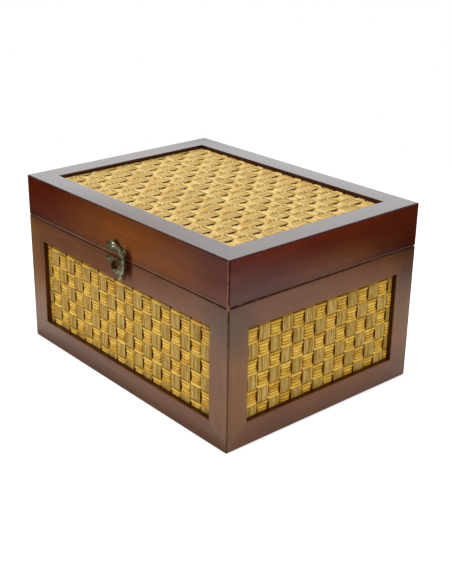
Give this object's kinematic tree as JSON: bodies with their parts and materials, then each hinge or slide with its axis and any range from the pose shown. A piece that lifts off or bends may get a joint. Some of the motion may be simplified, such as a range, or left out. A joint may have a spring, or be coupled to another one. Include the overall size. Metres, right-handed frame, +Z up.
{
  "type": "ditty box",
  "caption": "Rectangular wooden keepsake box with mitred frames, sunk woven reed panels, a lid hinged at the back and a swinging hook latch on the front.",
  "frame": {"origin": "on the underside of the bottom board, below the middle of the box", "axes": "+X along the front to the viewer's right, +Y from the front to the hinged back, +Z up"},
  "size_m": [0.3, 0.233, 0.173],
  "materials": {
    "lacquered_wood": "dark red-brown stain under satin lacquer",
    "reed_stakes": "woven split reed, olive brown",
    "reed_weavers": "woven split reed, golden yellow",
    "inner_board": "dark stained thin board, matte",
    "latch_bronze": "antique bronze plating, darkened in the hollows",
    "hinge_brass": "antique brass plating"
  },
  "bodies": {
    "body": {"back_backing": "inner_board", "back_bottom_rail": "lacquered_wood", "back_left_stile": "lacquered_wood", "back_right_stile": "lacquered_wood", "back_stakes": "reed_stakes", "back_top_rail": "lacquered_wood", "back_weavers": "reed_weavers", "bottom_board": "inner_board", "front_backing": "inner_board", "front_bottom_rail": "lacquered_wood", "front_left_stile": "lacquered_wood", "front_right_stile": "lacquered_wood", "front_stakes": "reed_stakes", "front_top_rail": "lacquered_wood", "front_weavers": "reed_weavers", "hinge_screws_body": "hinge_brass", "latch_keeper": "latch_bronze", "latch_keeper_nails": "latch_bronze", "left_back_stile": "lacquered_wood", "left_backing": "inner_board", "left_bottom_rail": "lacquered_wood", "left_front_stile": "lacquered_wood", "left_hinge_body_leaf": "hinge_brass", "left_hinge_pin": "hinge_brass", "left_stakes": "reed_stakes", "left_top_rail": "lacquered_wood", "left_weavers": "reed_weavers", "right_back_stile": "lacquered_wood", "right_backing": "inner_board", "right_bottom_rail": "lacquered_wood", "right_front_stile": "lacquered_wood", "right_hinge_body_leaf": "hinge_brass", "right_hinge_pin": "hinge_brass", "right_stakes": "reed_stakes", "right_top_rail": "lacquered_wood", "right_weavers": "reed_weavers"},
    "lid": {"hinge_screws_lid": "hinge_brass", "latch_plate": "latch_bronze", "latch_plate_nails": "latch_bronze", "latch_rivet": "latch_bronze", "left_hinge_lid_leaf": "hinge_brass", "lid_back_rail": "lacquered_wood", "lid_backing": "inner_board", "lid_front_rail": "lacquered_wood", "lid_left_rail": "lacquered_wood", "lid_right_rail": "lacquered_wood", "lid_stakes": "reed_stakes", "lid_weavers": "reed_weavers", "right_hinge_lid_leaf": "hinge_brass"},
    "hook": {"latch_hook": "latch_bronze"}
  },
  "joints": [
    {"name": "lid_hinge", "type": "hinge", "parent": "body", "child": "lid", "pos_m": [0, 0.1123, 0.1323], "axis": [-1, 0, 0], "range_deg": [0, 104]},
    {"name": "hook_pivot", "type": "hinge", "parent": "lid", "child": "hook", "pos_m": [-0.001, -0.1171, 0.1436], "axis": [0, -1, 0], "range_deg": [-33, 120]}
  ]
}
